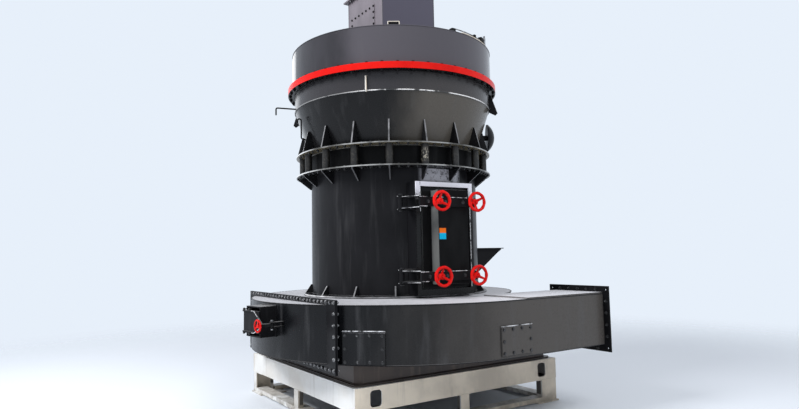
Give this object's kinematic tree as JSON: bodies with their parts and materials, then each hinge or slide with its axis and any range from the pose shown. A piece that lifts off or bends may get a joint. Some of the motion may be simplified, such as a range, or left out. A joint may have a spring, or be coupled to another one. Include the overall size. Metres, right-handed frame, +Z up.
{
  "type": "pendulum roller mill",
  "caption": "Pendulum roller grinding mill: cylindrical body on an air volute and steel base frame, with classifier casing, gas outlet and clamped access door.",
  "frame": {"origin": "on the mill axis at floor level, at the centre of the four anchor bolt holes", "axes": "+Z up along the mill axis, +X towards the mouth of the air duct, -Y towards the access door"},
  "size_m": [3.2044, 3.31, 4.536],
  "materials": {
    "frame_primer": "matt pale primer",
    "mill_paint": "gloss near-black enamel",
    "casing_paint": "gloss charcoal enamel",
    "signal_red": "gloss red enamel",
    "bare_steel": "ground plate edge",
    "cast_steel": "machined and cast wear parts"
  },
  "bodies": {
    "mill": {"foot_plates": "frame_primer", "floor_rails": "frame_primer", "frame_posts": "frame_primer", "front_and_back_beams": "frame_primer", "side_and_cross_beams": "frame_primer", "plinth": "mill_paint", "volute_floor": "mill_paint", "volute_roof": "mill_paint", "volute_front_wall": "mill_paint", "volute_left_wall": "mill_paint", "volute_back_wall": "mill_paint", "volute_right_wall": "mill_paint", "duct_flanges": "mill_paint", "cover_plates": "mill_paint", "air_inlet_ring": "mill_paint", "body_foot_ring": "mill_paint", "body_shell": "mill_paint", "ring_flanges": "mill_paint", "flange_ribs": "mill_paint", "neck_shell": "mill_paint", "ring_sleeves": "mill_paint", "cone_shell": "mill_paint", "red_ring": "signal_red", "casing_shell": "casing_paint", "casing_lid": "casing_paint", "outlet_box": "casing_paint", "side_port": "mill_paint", "feed_hopper": "mill_paint", "door_neck": "mill_paint", "door_lip_frame": "bare_steel", "hinge_brackets": "mill_paint", "inspection_box": "mill_paint", "grinding_ring": "cast_steel", "main_shaft": "cast_steel", "grinding_rollers": "cast_steel", "classifier_rotor": "cast_steel", "classifier_beam": "cast_steel"},
    "access_door": {"door_panel": "mill_paint", "door_straps": "mill_paint"},
    "upper_left_wheel": {"upper_left_wheel": "signal_red"},
    "upper_right_wheel": {"upper_right_wheel": "signal_red"},
    "lower_left_wheel": {"lower_left_wheel": "signal_red"},
    "lower_right_wheel": {"lower_right_wheel": "signal_red"},
    "inspection_door": {"inspection_door": "mill_paint"},
    "inspection_wheel": {"inspection_wheel": "signal_red"}
  },
  "joints": [
    {"name": "access_door_hinge", "type": "hinge", "parent": "mill", "child": "access_door", "pos_m": [-0.54541, -0.9561, 1.6835], "axis": [0, 0, -1], "range_deg": [0, 110]},
    {"name": "upper_left_wheel_spin", "type": "hinge", "parent": "access_door", "child": "upper_left_wheel", "pos_m": [-0.29833, -1.27585, 2.032], "axis": [-0.0872, -0.9962, 0], "continuous": true},
    {"name": "upper_right_wheel_spin", "type": "hinge", "parent": "access_door", "child": "upper_right_wheel", "pos_m": [0.09616, -1.31037, 2.032], "axis": [-0.0872, -0.9962, 0], "continuous": true},
    {"name": "lower_left_wheel_spin", "type": "hinge", "parent": "access_door", "child": "lower_left_wheel", "pos_m": [-0.29833, -1.27585, 1.335], "axis": [-0.0872, -0.9962, 0], "continuous": true},
    {"name": "lower_right_wheel_spin", "type": "hinge", "parent": "access_door", "child": "lower_right_wheel", "pos_m": [0.09616, -1.31037, 1.335], "axis": [-0.0872, -0.9962, 0], "continuous": true},
    {"name": "inspection_door_hinge", "type": "hinge", "parent": "mill", "child": "inspection_door", "pos_m": [-1.66863, -0.55709, 0.945], "axis": [0, 0, 1], "range_deg": [0, 100]},
    {"name": "inspection_wheel_spin", "type": "hinge", "parent": "inspection_door", "child": "inspection_wheel", "pos_m": [-1.79647, -0.54899, 0.945], "axis": [-0.9877, -0.1564, 0], "continuous": true}
  ]
}
